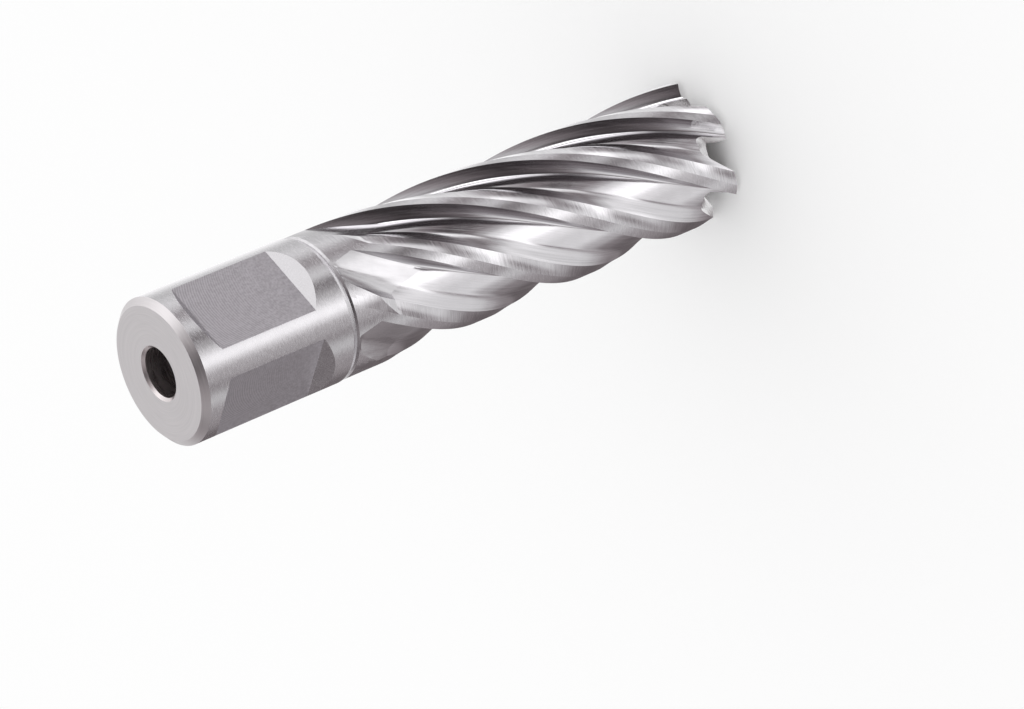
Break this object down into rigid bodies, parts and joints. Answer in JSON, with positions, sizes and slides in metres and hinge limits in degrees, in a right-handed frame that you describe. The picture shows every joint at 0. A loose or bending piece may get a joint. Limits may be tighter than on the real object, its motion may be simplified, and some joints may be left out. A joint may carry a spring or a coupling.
{
  "type": "annular cutter",
  "caption": "Hollow annular cutter with right-hand helical flutes, stepped tooth ends, a parallel shank with drive flats and a through bore for a pilot pin.",
  "frame": {"origin": "on the cutter's axis, in the plane of the highest tooth tips, on which it stands", "axes": "+Z along the axis from the teeth to the shank, +X out of the first drive flat, -Y out of the second"},
  "size_m": [0.019, 0.019, 0.0866],
  "materials": {
    "tool_steel": "bright ground high-speed steel"
  },
  "bodies": {
    "root": {"annular_cutter": "tool_steel"}
  },
  "joints": []
}
